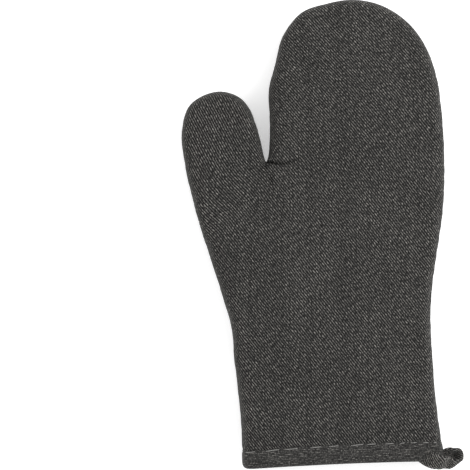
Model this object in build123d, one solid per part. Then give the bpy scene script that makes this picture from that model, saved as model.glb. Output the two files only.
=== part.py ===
from build123d import *
import os
import math

os.makedirs("parts", exist_ok=True)

# ---------------------------------------------------------------- dimensions
# Millimetres. +X across the cuff towards the little-finger side, +Y from the
# cuff towards the finger tips, +Z up from the surface the mitt lies on.

THICK = 32.0            # whole mitt, resting face to upper face
R_TOP = 17.0            # rounding of the upper edge
R_BOTTOM = 11.0         # rounding of the lower edge
Z_SEAM = 13.0           # height of the side seam joining front and back panels

CLEAR = 0.16            # between one layer of soft goods and the next
SHELL = (0.0, 1.2)      # outer cloth, twill: depths below the outer face
BATTING = (1.36, 4.84)  # wadding
LINING = (5.0, 6.0)     # inner cloth
WALL = LINING[1]

BIND_LAP = 1.0          # tape beyond its own topstitch
# under the tape the wall is pressed: tape, shell, batting, lining, tape
TAPE_OUT = (0.0, 0.7)
BAND_SHELL = (0.86, 1.6)
BAND_BATTING = (1.76, 4.34)
BAND_LINING = (4.5, 5.24)
TAPE_IN = (5.4, 6.0)
CAP_T = 0.8             # tape past the raw edges, at the cuff end

THREAD = 0.5            # seam thread, square section
THREAD_SHELL_DEPTH = 0.35
THREAD_LINING_DEPTH = 5.25
GROOVE = 0.15           # room round a seam thread

# cuff end, and the topstitch line of the tape: three points of one long arc
CUFF_END = [(-49.0, -3.0), (21.7, 1.2), (91.4, 2.8)]
TOPSTITCH = [(-49.0, 8.8), (21.7, 14.0), (91.4, 16.2)]

FOLD_GAP = 0.3          # clearance across each fold line
FINGER_FOLD_Y = 223.0   # fold line across the knuckles, along X
SLOT_X = -33.4          # middle of the slot between thumb and fingers
THUMB_FOLD_P = (-34.4, 214.4)      # thumb fold line: a point, at the slot
THUMB_FOLD_DIR = (-0.6, -0.8)      # and its direction, down to the side seam

TAPE_W = 12.0           # hanging loop: folded tape width
TAPE_T = 2.0            # folded tape thickness

STITCH_T = 0.35         # topstitch thread
STITCH_LEN = 6.0        # one visible stitch of the tape
STITCH_PITCH = 11.0

# the origin, under the middle of the whole mitt, on the resting surface
ORIGIN_X = 6.831
ORIGIN_Y = 160.602

# outline of the finished mitt at the side seam
OUTLINE = [
    (-49.4, 5.6), (-50.4, 28.0), (-52.5, 50.4), (-55.0, 72.8), (-57.2, 95.2),
    (-65.1, 123.2), (-72.1, 145.6), (-79.4, 168.0), (-85.6, 190.4),
    (-90.2, 213.0), (-91.7, 232.5), (-87.6, 248.8), (-79.5, 256.1),
    (-65.8, 260.4), (-52.5, 257.0), (-45.2, 249.6), (-39.7, 237.0),
    (-36.2, 224.0), (-34.9, 216.6), (-32.9, 214.2), (-31.1, 216.6),
    (-30.3, 228.0), (-30.5, 246.0), (-30.7, 262.0), (-26.6, 280.0),
    (-20.9, 299.4), (-8.0, 315.4), (10.0, 321.8), (28.7, 324.4),
    (48.0, 320.2), (66.2, 308.2), (78.6, 291.4), (86.2, 270.6),
    (90.3, 241.0), (91.9, 211.4), (90.6, 177.0), (86.7, 149.0),
    (83.2, 123.2), (82.2, 101.0), (84.2, 64.4), (87.4, 32.0),
    (91.0, 8.0), (91.4, -10.0), (87.0, -34.0), (66.0, -49.0), (22.0, -51.0),
    (-24.0, -49.0), (-44.0, -34.0), (-49.2, -12.0),
]

# ------------------------------------------------------------------ outline
# A smooth closed curve through the outline's points gives each its tangent;
# two tangent arcs then join each pair, so every offset is exact.
master = Edge.make_spline([Vector(x, y, 0) for x, y in OUTLINE], periodic=True)
centre = Vector(20, 120, 0)


def biarc_nodes():
    pts = [Vector(x, y, 0) for x, y in OUTLINE]
    tans = [master.tangent_at(master.param_at_point(p)) for p in pts]
    tans = [Vector(t.X, t.Y, 0).normalized() for t in tans]
    if (pts[1] - pts[0]).dot(tans[0]) < 0:
        tans = [-t for t in tans]
    nodes = []
    n = len(pts)
    for i in range(n):
        p0, t0 = pts[i], tans[i]
        p1, t1 = pts[(i + 1) % n], tans[(i + 1) % n]
        v = p1 - p0
        tt = t0 + t1
        den = 2 * (1 - t0.dot(t1))
        if den < 1e-9:
            d = v.dot(v) / (4 * v.dot(t1))
        else:
            vt = v.dot(tt)
            d = (-vt + math.sqrt(vt * vt + den * v.dot(v))) / den
        pm = (p0 + t0 * d + p1 - t1 * d) * 0.5
        # tangent at the middle point: reflect t0 in the chord p0 -> pm
        c = (pm - p0).normalized()
        tm = (c * (2 * c.dot(t0)) - t0).normalized()
        nodes.append((p0, t0))
        nodes.append((pm, tm))
    return nodes


NODES = biarc_nodes()
# the outline is listed clockwise, so the inside lies to the right
INWARD = 1.0


def inward(t):
    return Vector(t.Y, -t.X, 0) * INWARD


def outline_face(d):
    """The outline moved inwards by d, as a face in the XY plane."""
    q = [(p + inward(t) * d, t) for p, t in NODES]
    edges = []
    n = len(q)
    for i in range(n):
        a, t = q[i]
        b = q[(i + 1) % n][0]
        chord = b - a
        if abs(chord.normalized().cross(t).Z) < 1e-6:
            edges.append(Edge.make_line(a, b))
        else:
            edges.append(Edge.make_tangent_arc(a, t, b))
    f = Face(Wire(edges))
    if f.normal_at().Z < 0:
        f = -f
    return f


def prism(face, z0, z1):
    return extrude(face, amount=z1 - z0, dir=(0, 0, 1)).moved(Location((0, 0, z0)))


def skin(d):
    """The whole padded form, moved inwards by d all round."""
    body = prism(outline_face(d), d, THICK - d)
    top = [e for e in body.edges()
           if e.bounding_box().min.Z > THICK - d - 1e-3]
    body = fillet(top, R_TOP - d)
    low = [e for e in body.edges() if e.bounding_box().max.Z < d + 1e-3]
    return fillet(low, R_BOTTOM - d)


def poly(points, z0=-20.0, z1=60.0):
    w = Wire([Edge.make_line(Vector(*points[i], 0), Vector(*points[(i + 1) % len(points)], 0))
              for i in range(len(points))])
    f = Face(w)
    if f.normal_at().Z < 0:
        f = -f
    return prism(f, z0, z1)


def arc_pts(three):
    return [Vector(x, y, 0) for x, y in three]


def beyond(three, shift=0.0):
    """Everything on the finger side of the arc through three points."""
    a = Edge.make_three_point_arc(*[v + Vector(0, shift, 0) for v in arc_pts(three)])
    s, e = a.position_at(0), a.position_at(1)
    ts, te = a.tangent_at(0), a.tangent_at(1)
    s0 = s - ts * ((s.X + 130) / ts.X)
    e0 = e + te * ((150 - e.X) / te.X)
    w = Wire([Edge.make_line(s0, s), a, Edge.make_line(e, e0),
              Edge.make_line(e0, Vector(e0.X, 400, 0)),
              Edge.make_line(Vector(e0.X, 400, 0), Vector(s0.X, 400, 0)),
              Edge.make_line(Vector(s0.X, 400, 0), s0)])
    f = Face(w)
    if f.normal_at().Z < 0:
        f = -f
    return prism(f, -20, 60)


def one(shape):
    s = shape.solids()
    if len(s) == 1:
        return s[0]
    s = sorted(s, key=lambda x: -x.volume)
    for x in s:
        c = x.center()
        print("   several solids:", round(x.volume, 3), round(c.X, 2), round(c.Y, 2), round(c.Z, 2))
    return s[0]


# ------------------------------------------------------------------ regions
half = FOLD_GAP / 2
ux, uy = THUMB_FOLD_DIR
px, py = THUMB_FOLD_P
nx, ny = -0.8, 0.6           # across the thumb fold line, towards the thumb


def thumb_line(t, off):
    return (px + ux * t + nx * off, py + uy * t + ny * off)


REACH = 125.0
fingers_region = poly([(SLOT_X, FINGER_FOLD_Y + half), (140, FINGER_FOLD_Y + half),
                       (140, 350), (SLOT_X, 350)])
thumb_region = poly([thumb_line(-1.2, half), (SLOT_X, py + 3.2), (SLOT_X, 350), (-170, 350),
                     (-170, thumb_line(REACH, half)[1]), thumb_line(REACH, half)])
palm_region = poly([thumb_line(-1.2, -half), (SLOT_X, FINGER_FOLD_Y - half),
                    (140, FINGER_FOLD_Y - half), (140, -80), (-170, -80),
                    (-170, thumb_line(REACH, -half)[1]), thumb_line(REACH, -half)])
past_end = beyond(CUFF_END)
past_band = beyond(TOPSTITCH, BIND_LAP)
past_main = beyond(TOPSTITCH, BIND_LAP + CLEAR)
band_region = past_end - past_band
palm_main_region = palm_region & past_main
palm_band_region = beyond(CUFF_END, CAP_T + CLEAR) - past_main

above = Box(500, 500, 60, align=(Align.CENTER, Align.CENTER, Align.MIN)).moved(Location((0, 150, Z_SEAM + CLEAR / 2)))
below = Box(500, 500, 60, align=(Align.CENTER, Align.CENTER, Align.MAX)).moved(Location((0, 150, Z_SEAM - CLEAR / 2)))

depths = sorted(set(SHELL + BATTING + LINING + TAPE_OUT + BAND_SHELL + BAND_BATTING
                    + BAND_LINING + TAPE_IN))
S = {}
for d in depths:
    S[round(d, 3)] = skin(d)
    print("skin", d, round(S[round(d, 3)].volume), S[round(d, 3)].is_valid)


def layer(d0, d1, region, side):
    outer = S[round(d0, 3)] & region & side
    return outer - S[round(d1, 3)]


# seam threads run inside the cloth, along the side seam
def thread_ring(depth, room=0.0):
    z0, z1 = Z_SEAM - THREAD / 2 - room, Z_SEAM + THREAD / 2 + room
    return (prism(outline_face(depth - room), z0, z1)
            - prism(outline_face(depth + THREAD + room), z0 - 1, z1 + 1))


shell_thread = thread_ring(THREAD_SHELL_DEPTH)
lining_thread = thread_ring(THREAD_LINING_DEPTH)
shell_groove = thread_ring(THREAD_SHELL_DEPTH, GROOVE)
lining_groove = thread_ring(THREAD_LINING_DEPTH, GROOVE)

nodes = {}
groups = {}
MAIN = {"shell": SHELL, "batting": BATTING, "lining": LINING}
BANDED = {"shell": BAND_SHELL, "batting": BAND_BATTING, "lining": BAND_LINING}
REGIONS = {"palm": palm_main_region, "fingers": fingers_region, "thumb": thumb_region}

for side_name, side in (("front", above), ("back", below)):
    for kind, (d0, d1) in MAIN.items():
        for part, region in REGIONS.items():
            body = layer(d0, d1, region, side)
            if part == "palm":
                b0, b1 = BANDED[kind]
                body = body + layer(b0, b1, palm_band_region, side)
            if kind == "shell":
                body = body - (shell_groove & past_main)
            if kind == "lining":
                body = body - (lining_groove & past_main)
            nodes[f"{side_name}_{kind}_{part}"] = one(body)

for part, region in REGIONS.items():
    if part == "palm":
        region = region & beyond(TOPSTITCH, BIND_LAP + 2 * CLEAR)
    groups[f"shell_seam_thread_{part}"] = (shell_thread & region).solids()
    groups[f"lining_seam_thread_{part}"] = (lining_thread & region).solids()

# ------------------------------------------------------- binding of the cuff
tape_outer = (S[TAPE_OUT[0]] & band_region) - S[TAPE_OUT[1]]
tape_inner = (S[TAPE_IN[0]] & band_region) - S[TAPE_IN[1]]
# the fold of the tape over the raw edges, past the end of the wall
end_cap = past_end - beyond(CUFF_END, CAP_T)
cap = (S[0.0] & end_cap) - S[WALL]
binding = tape_outer + tape_inner + cap

# topstitch of the tape, on both faces
line = Edge.make_three_point_arc(*arc_pts(TOPSTITCH))
stitches = []
slots = []
s = 17.0
k = 0
while s < line.length - 22:
    u = s / line.length
    p = line.position_at(u)
    t = line.tangent_at(u)
    a = math.degrees(math.atan2(t.Y, t.X))
    ln = STITCH_LEN + (1.5 if k % 3 == 0 else -0.8 if k % 3 == 1 else 0.4)
    for z in (THICK - STITCH_T, 0.0):
        at = Location((p.X, p.Y, z), (0, 0, a))
        low = (Align.CENTER, Align.CENTER, Align.MIN)
        stitches.append(Box(ln, STITCH_T, STITCH_T, align=low).moved(at))
        slots.append(Box(ln + 0.3, STITCH_T + 0.3, STITCH_T + 0.3, align=low)
                     .moved(Location((0, 0, -0.15)) * at))
    s += STITCH_PITCH
    k += 1
for st in slots:
    binding = binding - st
nodes["cuff_binding"] = one(binding)

# -------------------------------------------------------------- hanging loop
# Folded tape on edge: a tail sewn to the end of the cuff by the side seam,
# then a ring that curls round the corner of the cuff.
LX0, LY0, LX1, LY1 = 92.7, -3.2, 105.4, 12.4
LOOP_Z0, LOOP_Z1 = Z_SEAM - TAPE_W / 2, Z_SEAM + TAPE_W / 2


def ring_face(x0, y0, x1, y1, r):
    f = Face(Wire.make_rect(x1 - x0, y1 - y0)).moved(Location(((x0 + x1) / 2, (y0 + y1) / 2, 0)))
    return f.fillet_2d(r, f.vertices())


ring_out = ring_face(LX0, LY0, LX1, LY1, 4.5)
ring_in = ring_face(LX0 + TAPE_T, LY0 + TAPE_T, LX1 - TAPE_T, LY1 - TAPE_T, 2.5)
tail = poly([(79.0, 2.2), (85.0, 1.7), (91.0, -0.1), (97.0, -1.4), (97.0, LY0),
             (91.6, -2.7), (85.6, -0.7), (79.0, 0.2)], LOOP_Z0, LOOP_Z1)
loop = prism(ring_out, LOOP_Z0, LOOP_Z1) + tail - prism(ring_in, LOOP_Z0 - 1, LOOP_Z1 + 1)

# stitches that close the folded tape, along its upper edge, on the outside
STITCH_Z = LOOP_Z1 - 1.3
loop_stitches = []
for y in (2.4, 5.4, 8.4):
    at = Location((LX1 - STITCH_T / 2, y, STITCH_Z))
    loop_stitches.append(Box(STITCH_T, 2.0, STITCH_T).moved(at))
    loop = loop - Box(STITCH_T + 0.3, 2.3, STITCH_T + 0.3).moved(at)
for x in (98.0, 101.0):
    for y in (LY0 + STITCH_T / 2, LY1 - STITCH_T / 2):
        at = Location((x, y, STITCH_Z))
        loop_stitches.append(Box(2.0, STITCH_T, STITCH_T).moved(at))
        loop = loop - Box(2.3, STITCH_T + 0.3, STITCH_T + 0.3).moved(at)

# bar tack at the root of the loop: close parallel stitches over the tail
bar = []
for i in range(5):
    at = Location((80.6, 1.0, Z_SEAM - 4.0 + 2.0 * i))
    bar.append(Box(0.6, 1.5, 0.6).moved(at))
    loop = loop - Box(0.9, 4.0, 0.9).moved(at)
nodes["hanging_loop"] = one(loop)

groups["binding_topstitch"] = stitches
groups["loop_edge_stitch"] = loop_stitches
groups["loop_bar_tack"] = bar

# -------------------------------------------------------------------- write
move = Location((-ORIGIN_X, -ORIGIN_Y, 0))
lo = [1e9] * 3
hi = [-1e9] * 3
for name, solid in nodes.items():
    out = solid.moved(move)
    bb = out.bounding_box()
    lo = [min(a, b) for a, b in zip(lo, (bb.min.X, bb.min.Y, bb.min.Z))]
    hi = [max(a, b) for a, b in zip(hi, (bb.max.X, bb.max.Y, bb.max.Z))]
    export_step(out, f"parts/{name}.step")
for name, items in groups.items():
    out = Compound(children=[b.solids()[0].moved(move) for b in items])
    if len(items) < 4:
        print(name, [round(b.volume, 2) for b in items])
    export_step(out, f"parts/{name}.step")
print("box", [round(v, 3) for v in lo], [round(v, 3) for v in hi])
print("centre", round((lo[0] + hi[0]) / 2, 3), round((lo[1] + hi[1]) / 2, 3))
print("finger fold at", round(-ORIGIN_X, 2), round(FINGER_FOLD_Y - ORIGIN_Y, 2), THICK)
print("thumb fold at", round(px - ORIGIN_X, 2), round(py - ORIGIN_Y, 2), THICK)
print("nodes", len(nodes) + len(groups))
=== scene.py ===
import math
import bpy
import bmesh
import numpy as np
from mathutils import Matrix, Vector
from mathutils import geometry, kdtree


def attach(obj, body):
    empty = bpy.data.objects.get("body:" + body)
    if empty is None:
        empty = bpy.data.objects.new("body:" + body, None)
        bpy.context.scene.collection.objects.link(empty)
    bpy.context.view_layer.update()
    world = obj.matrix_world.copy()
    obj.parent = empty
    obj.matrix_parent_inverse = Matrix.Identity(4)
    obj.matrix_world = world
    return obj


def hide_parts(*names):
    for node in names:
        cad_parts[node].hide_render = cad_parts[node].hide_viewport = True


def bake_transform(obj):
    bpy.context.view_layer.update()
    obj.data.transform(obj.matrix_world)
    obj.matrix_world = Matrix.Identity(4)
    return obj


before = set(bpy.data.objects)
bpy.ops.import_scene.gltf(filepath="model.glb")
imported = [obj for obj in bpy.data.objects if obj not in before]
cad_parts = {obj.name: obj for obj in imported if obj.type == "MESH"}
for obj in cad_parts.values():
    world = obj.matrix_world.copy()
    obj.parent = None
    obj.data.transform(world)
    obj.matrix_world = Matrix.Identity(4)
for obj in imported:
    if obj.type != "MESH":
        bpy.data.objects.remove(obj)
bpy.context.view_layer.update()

# ---------------------------------------------------------------- sizes, in millimetres of the cloth pattern
OX, OY = 6.831, 160.602
OUTLINE = [(-49.1, -3.0), (-49.4, 5.6), (-50.4, 28), (-52.5, 50.4), (-55, 72.8), (-57.2, 95.2), (-65.1, 123.2),
           (-72.1, 145.6), (-79.4, 168), (-85.6, 190.4), (-90.2, 213), (-91.7, 232.5), (-87.6, 248.8),
           (-79.5, 256.1), (-65.8, 260.4), (-52.5, 257), (-45.2, 249.6), (-39.7, 237), (-36.2, 224),
           (-34.5, 215.0), (-32.9, 211.6), (-31.4, 215.0), (-30.4, 228), (-30.5, 246), (-30.7, 262),
           (-26.6, 280), (-20.9, 299.4), (-8, 315.4), (10, 321.8), (28.7, 324.4), (48, 320.2), (66.2, 308.2),
           (78.6, 291.4), (86.2, 270.6), (90.3, 241), (91.9, 211.4), (90.6, 177), (86.7, 149), (83.2, 123.2),
           (82.2, 101), (84.2, 64.4), (87.4, 32), (91, 8), (91.3, 2.8)]
CUFF_END = np.polyfit([-49, 21.7, 91.4], [-3, 1.2, 2.8], 2)
CUFF_STITCH = np.polyfit([-49, 21.7, 91.4], [8.8, 14, 16.2], 2)
Z_EQ, H_TOP, H_BOT, A_TOP, A_BOT, E_TOP, E_BOT = 13.0, 18.0, 13.0, 11.5, 11.0, 0.58, 0.80
CROWN = 1.3
CROTCH = np.array([-32.9, 211.6])
N_T = np.array([-0.8, 0.6])                # across the thumb fold, towards the thumb


def sstep(t):
    t = np.clip(t, 0, 1)
    return t * t * (3 - 2 * t)


def fade(ys):
    return 1 - sstep((ys - 14) / 56)


def warp(x, ys):
    return ys + np.polyval(CUFF_END, np.clip(x, -55, 97)) * fade(ys)


def unwarp(x, y):
    ys = np.array(y, float)
    for _ in range(6):
        ys = y - np.polyval(CUFF_END, np.clip(x, -55, 97)) * fade(ys)
    return ys


def band(x):
    """height of the binding above the cuff end, at x"""
    x = np.clip(x, -49, 91.4)
    return np.polyval(CUFF_STITCH, x) - np.polyval(CUFF_END, x) + 1.0


def vnoise(x, y, cell, seed):
    g = np.random.default_rng(seed).uniform(-1, 1, (96, 96))
    u, v = np.asarray(x) / cell + 40.3, np.asarray(y) / cell + 40.7
    i, j = np.floor(u).astype(int), np.floor(v).astype(int)
    a, b = sstep(u - i), sstep(v - j)
    i, j, i2, j2 = i % 96, j % 96, (i + 1) % 96, (j + 1) % 96
    return (g[i, j] * (1 - a) + g[i2, j] * a) * (1 - b) + (g[i, j2] * (1 - a) + g[i2, j2] * a) * b


def rows(p):
    """pattern millimetres to the row frame in metres"""
    p = np.asarray(p, float)
    return (p - np.array([OX, OY, 0.0])) / 1000.0


# ---------------------------------------------------------------- the outline, in straight-cuff coordinates
def outline_samples(coarse=1.0):
    p = np.array(OUTLINE, float)
    p[:, 1] = unwarp(p[:, 0], p[:, 1])
    p[0, 1] = p[-1, 1] = 0.0
    q = np.vstack([2 * p[0] - p[1], p, 2 * p[-1] - p[-2]])
    fine = []
    for k in range(1, len(q) - 2):
        p0, p1, p2, p3 = q[k - 1], q[k], q[k + 1], q[k + 2]
        t0 = 0.0
        t1 = t0 + np.linalg.norm(p1 - p0) ** 0.5
        t2 = t1 + np.linalg.norm(p2 - p1) ** 0.5
        t3 = t2 + np.linalg.norm(p3 - p2) ** 0.5
        t = np.linspace(t1, t2, 40, endpoint=False)[:, None]
        a1 = (t1 - t) / (t1 - t0) * p0 + (t - t0) / (t1 - t0) * p1
        a2 = (t2 - t) / (t2 - t1) * p1 + (t - t1) / (t2 - t1) * p2
        a3 = (t3 - t) / (t3 - t2) * p2 + (t - t2) / (t3 - t2) * p3
        b1 = (t2 - t) / (t2 - t0) * a1 + (t - t0) / (t2 - t0) * a2
        b2 = (t3 - t) / (t3 - t1) * a2 + (t - t1) / (t3 - t1) * a3
        fine.append((t2 - t) / (t2 - t1) * b1 + (t - t1) / (t2 - t1) * b2)
    fine = np.vstack(fine + [p[-1:]])
    seg = np.linalg.norm(np.diff(fine, axis=0), axis=1)
    s = np.concatenate([[0], np.cumsum(seg)])
    near = np.linalg.norm(fine - CROTCH, axis=1)
    want = np.clip(0.2 + (near - 2) * 0.10, 0.2, 2.2) * coarse      # step along the edge
    dens = np.concatenate([[0], np.cumsum(seg / ((want[1:] + want[:-1]) / 2))])
    n = int(round(dens[-1]))
    pick = np.interp(np.linspace(0, dens[-1], n + 1), dens, s)
    P = np.stack([np.interp(pick, s, fine[:, 0]), np.interp(pick, s, fine[:, 1])], 1)
    eps = 0.35
    ahead = np.stack([np.interp(pick + eps, s, fine[:, 0]), np.interp(pick + eps, s, fine[:, 1])], 1)
    back = np.stack([np.interp(pick - eps, s, fine[:, 0]), np.interp(pick - eps, s, fine[:, 1])], 1)
    T = ahead - back
    T /= np.linalg.norm(T, axis=1)[:, None]
    N = np.stack([T[:, 1], -T[:, 0]], 1)
    k = sstep(P[:, 1] / 18)[:, None]
    side = np.where(P[:, 0] < 20, 1.0, -1.0)[:, None] * np.array([[1.0, 0.0]])
    N = side * (1 - k) + N * k
    N /= np.linalg.norm(N, axis=1)[:, None]
    P[0, 1] = P[-1, 1] = 0.0
    return P, N, pick, fine


P0, N0, S0, FINE = outline_samples(1.0)
LENGTH = S0[-1]
LOW = int(np.argmin(np.where((P0[:, 0] > -36) & (P0[:, 0] < -30), P0[:, 1], 1e9)))
CROTCH = P0[LOW].copy()
half = FINE[::6]


def edge_distance(q):
    out = np.full(len(q), 1e9)
    a, b = half[:-1], half[1:]
    ab = b - a
    l2 = (ab ** 2).sum(1)
    for c in range(0, len(q), 4000):
        w = q[c:c + 4000, None, :] - a[None]
        t = np.clip((w * ab[None]).sum(2) / l2[None], 0, 1)
        out[c:c + 4000] = np.sqrt(((w - t[..., None] * ab[None]) ** 2).sum(2)).min(1)
    return out


def x_sides(ys):
    low = FINE[:, 1] < 60
    left = low & (FINE[:, 0] < 20)
    right = low & (FINE[:, 0] > 20)
    o = np.argsort(FINE[left][:, 1])
    r = np.argsort(FINE[right][:, 1])
    return (np.interp(ys, FINE[left][o, 1], FINE[left][o, 0]), np.interp(ys, FINE[right][r, 1], FINE[right][r, 0]))


# ---------------------------------------------------------------- the cross-section and the relief that all layers share
def section(phi, h):
    up = phi >= 0
    e = np.where(up, E_TOP, E_BOT)
    A, H = np.where(up, A_TOP, A_BOT), np.where(up, H_TOP, H_BOT)
    c, s = np.abs(np.cos(phi)) ** e, np.abs(np.sin(phi)) ** e
    return h + (A - h) * (1 - c), Z_EQ + np.where(up, 1, -1) * (H - h) * s


def cuff_dip(ys, front):
    """the padding is squeezed by the binding and swells above it"""
    k = 1.5 if front else 0.7
    w = 13.0
    return k * (1 - sstep((ys - w) / 16)) * (0.75 + 0.25 * sstep(ys / 8)) - (0.35 if front else 0.0) * np.exp(-((ys - 34) / 14) ** 2)


def under_tape(x, ys):
    """how far the shell lies inwards under the binding"""
    return 0.95 * sstep((band(x) + 1.6 - ys) / 2.4)


CREASES = [  # polyline, depth, half width
    ([(-32.6, 211.0), (-30.0, 210.2), (-25.0, 209.7), (-19.6, 209.8), (-12.0, 211.2), (-5.5, 213.8)], 4.2, 1.1),
    ([(-32.9, 211.0), (-32.0, 205.5), (-29.4, 196.0), (-28.4, 191.0)], 4.4, 1.2),
    ([(-34.4, 210.4), (-40.5, 209.5), (-46.5, 204.0), (-50.5, 198.0)], 0.75, 2.6),
    ([(-28.6, 221.0), (-21.0, 224.0), (-13.0, 230.0)], 0.55, 3.0),
]


def crease(x, y):
    out = np.zeros_like(x)
    for line, depth, wide in CREASES:
        line = np.array(line, float)
        best = np.full(x.shape, 1e9)
        along = np.zeros_like(x)
        total = np.linalg.norm(np.diff(line, axis=0), axis=1).sum()
        run = 0.0
        for a, b in zip(line[:-1], line[1:]):
            ab = b - a
            l = np.linalg.norm(ab)
            t = np.clip(((x - a[0]) * ab[0] + (y - a[1]) * ab[1]) / l ** 2, 0, 1)
            d = np.hypot(x - a[0] - t * ab[0], y - a[1] - t * ab[1])
            use = d < best
            best = np.where(use, d, best)
            along = np.where(use, run + t * l, along)
            run += l
        f = np.clip(1 - along / total, 0, 1) ** 0.8
        w = wide * (0.7 + 0.9 * along / total)
        out -= depth * f * np.exp(-(best / w) ** 2)
        out += 0.36 * depth * f * np.exp(-((best - 2.3 * w) / (1.3 * w)) ** 2)
    return out


def relief(x, y, front):
    """swell and dips of a filled face, in z, for the flat of each panel"""
    if front:
        z = 0.55 * vnoise(x, y, 46, 3) + 0.34 * vnoise(x, y, 24, 4) + 0.12 * vnoise(x, y, 11, 5)
        lift = np.exp(-((y - 20) / 9) ** 2)
        z = z + 0.22 * lift * np.sin(x / 1.9 + 2.1 * vnoise(x, y, 30, 8)) * (0.4 + 0.6 * np.abs(vnoise(x, y, 26, 9)))
        return z
    return 0.35 * (1 + vnoise(x, y, 40, 13)) * 0.6 + 0.12 * (1 + vnoise(x, y, 15, 14)) * 0.5


SWELL = {}            # simulated displacement: (kd-tree, displacements) for each side


def simulated(x, y, z, front):
    if front not in SWELL:
        return np.zeros((len(x), 3))
    tree, disp = SWELL[front]
    out = np.zeros((len(x), 3))
    for i in range(len(x)):
        hit = tree.find_n((x[i], y[i], z[i]), 6)
        w = np.array([1 / (d + 0.6) ** 2 for _, _, d in hit])
        out[i] = (disp[[k for _, k, _ in hit]] * w[:, None]).sum(0) / w.sum()
    return out


def seam_angle(s, P):
    """where the side seam runs round the edge: rolled to the upper face along the outer edge of the hand"""
    right = (P[:, 0] > 60)
    roll = np.where(right, sstep((P[:, 1] - 60) / 60) * (1 - sstep((P[:, 1] - 262) / 36)), 0.0)
    return np.radians(-4 + 27 * roll + 3 * np.sin(s / 37.0) + 2.0 * np.sin(s / 13.0 + 1))


RINGS = np.array([0.0, 0.018, 0.045, 0.08, 0.125, 0.18, 0.25, 0.33, 0.42, 0.52, 0.63, 0.74, 0.85, 0.93, 1.0])
INTERIOR = {}


def interior(front, pitch, P, N, key):
    """points and triangles inside the innermost ring, the same for every layer"""
    if (front, key) in INTERIOR:
        return INTERIOR[(front, key)]
    A = A_TOP if front else A_BOT
    ring = P + A * N
    ring[0, 1] = ring[-1, 1] = 0.0
    nb = int(round((ring[-1, 0] - ring[0, 0]) / pitch))
    bottom = np.stack([np.linspace(ring[-1, 0], ring[0, 0], nb + 1)[1:-1], np.zeros(nb - 1)], 1)
    loop = np.vstack([ring, bottom])
    gx = np.arange(-110, 110, pitch)
    gy = np.arange(pitch * 0.5, 340, pitch * 0.866)
    pts = np.array([(x + (0.5 * pitch if r % 2 else 0.0), y) for r, y in enumerate(gy) for x in gx])
    inside = np.zeros(len(pts), bool)
    j = len(loop) - 1
    for i in range(len(loop)):
        xi, yi, xj, yj = loop[i, 0], loop[i, 1], loop[j, 0], loop[j, 1]
        if yi != yj:
            hit = ((yi > pts[:, 1]) != (yj > pts[:, 1])) & (pts[:, 0] < (xj - xi) * (pts[:, 1] - yi) / (yj - yi) + xi)
            inside ^= hit
        j = i
    pts = pts[inside]
    pts = pts[(edge_distance(pts) > A + pitch * 0.55) & (pts[:, 1] > pitch * 0.5)]
    if front:                                      # finer points along the two sharp creases
        extra = []
        for line, _, _ in CREASES[:2]:
            line = np.array(line, float)
            run = np.concatenate([[0], np.cumsum(np.linalg.norm(np.diff(line, axis=0), axis=1))])
            at = np.arange(0.0, run[-1], 0.9)
            mid = np.stack([np.interp(at, run, line[:, 0]), np.interp(at, run, line[:, 1])], 1)
            t = np.gradient(mid, axis=0)
            t /= np.linalg.norm(t, axis=1)[:, None]
            across = np.stack([-t[:, 1], t[:, 0]], 1)
            for off in (-3.0, -2.2, -1.5, -0.9, -0.4, 0.0, 0.4, 0.9, 1.5, 2.2, 3.0):
                extra.append(mid + off * across)
        extra = np.vstack(extra)
        extra[:, 1] = unwarp(extra[:, 0], extra[:, 1])
        extra = extra[edge_distance(extra) > A + 0.5]
        far = np.array([np.min(np.hypot(*(extra - p).T)) > 1.3 for p in pts])
        picked = []
        for p in extra:                            # no two closer than 0.35 mm
            if not picked or np.min(np.hypot(*(np.array(picked) - p).T)) > 0.35:
                picked.append(p)
        pts = np.vstack([pts[far], np.array(picked)])
    allp = np.vstack([loop, pts])
    edges = [(i, (i + 1) % len(loop)) for i in range(len(loop))]
    out = geometry.delaunay_2d_cdt([Vector(p) for p in allp.tolist()], edges, [], 1, 1e-7, True)
    back = [o[0] for o in out[3]]
    tris = [tuple(back[v] for v in f) for f in out[2]]
    # every triangle the same way up, and none outside
    cen = allp[np.array(tris)].mean(1)
    keep = np.zeros(len(cen), bool)
    j = len(loop) - 1
    for i in range(len(loop)):
        xi, yi, xj, yj = loop[i, 0], loop[i, 1], loop[j, 0], loop[j, 1]
        if yi != yj:
            keep ^= ((yi > cen[:, 1]) != (yj > cen[:, 1])) & (cen[:, 0] < (xj - xi) * (cen[:, 1] - yi) / (yj - yi) + xi)
        j = i
    good = []
    for t in (t for t, k in zip(tris, keep) if k):
        a, b, c = allp[list(t)]
        area = (b[0] - a[0]) * (c[1] - a[1]) - (b[1] - a[1]) * (c[0] - a[0])
        if abs(area) > 1e-9:
            good.append(t if area > 0 else t[::-1])
    got = (allp, len(ring), good)
    INTERIOR[(front, key)] = got
    return got


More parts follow.
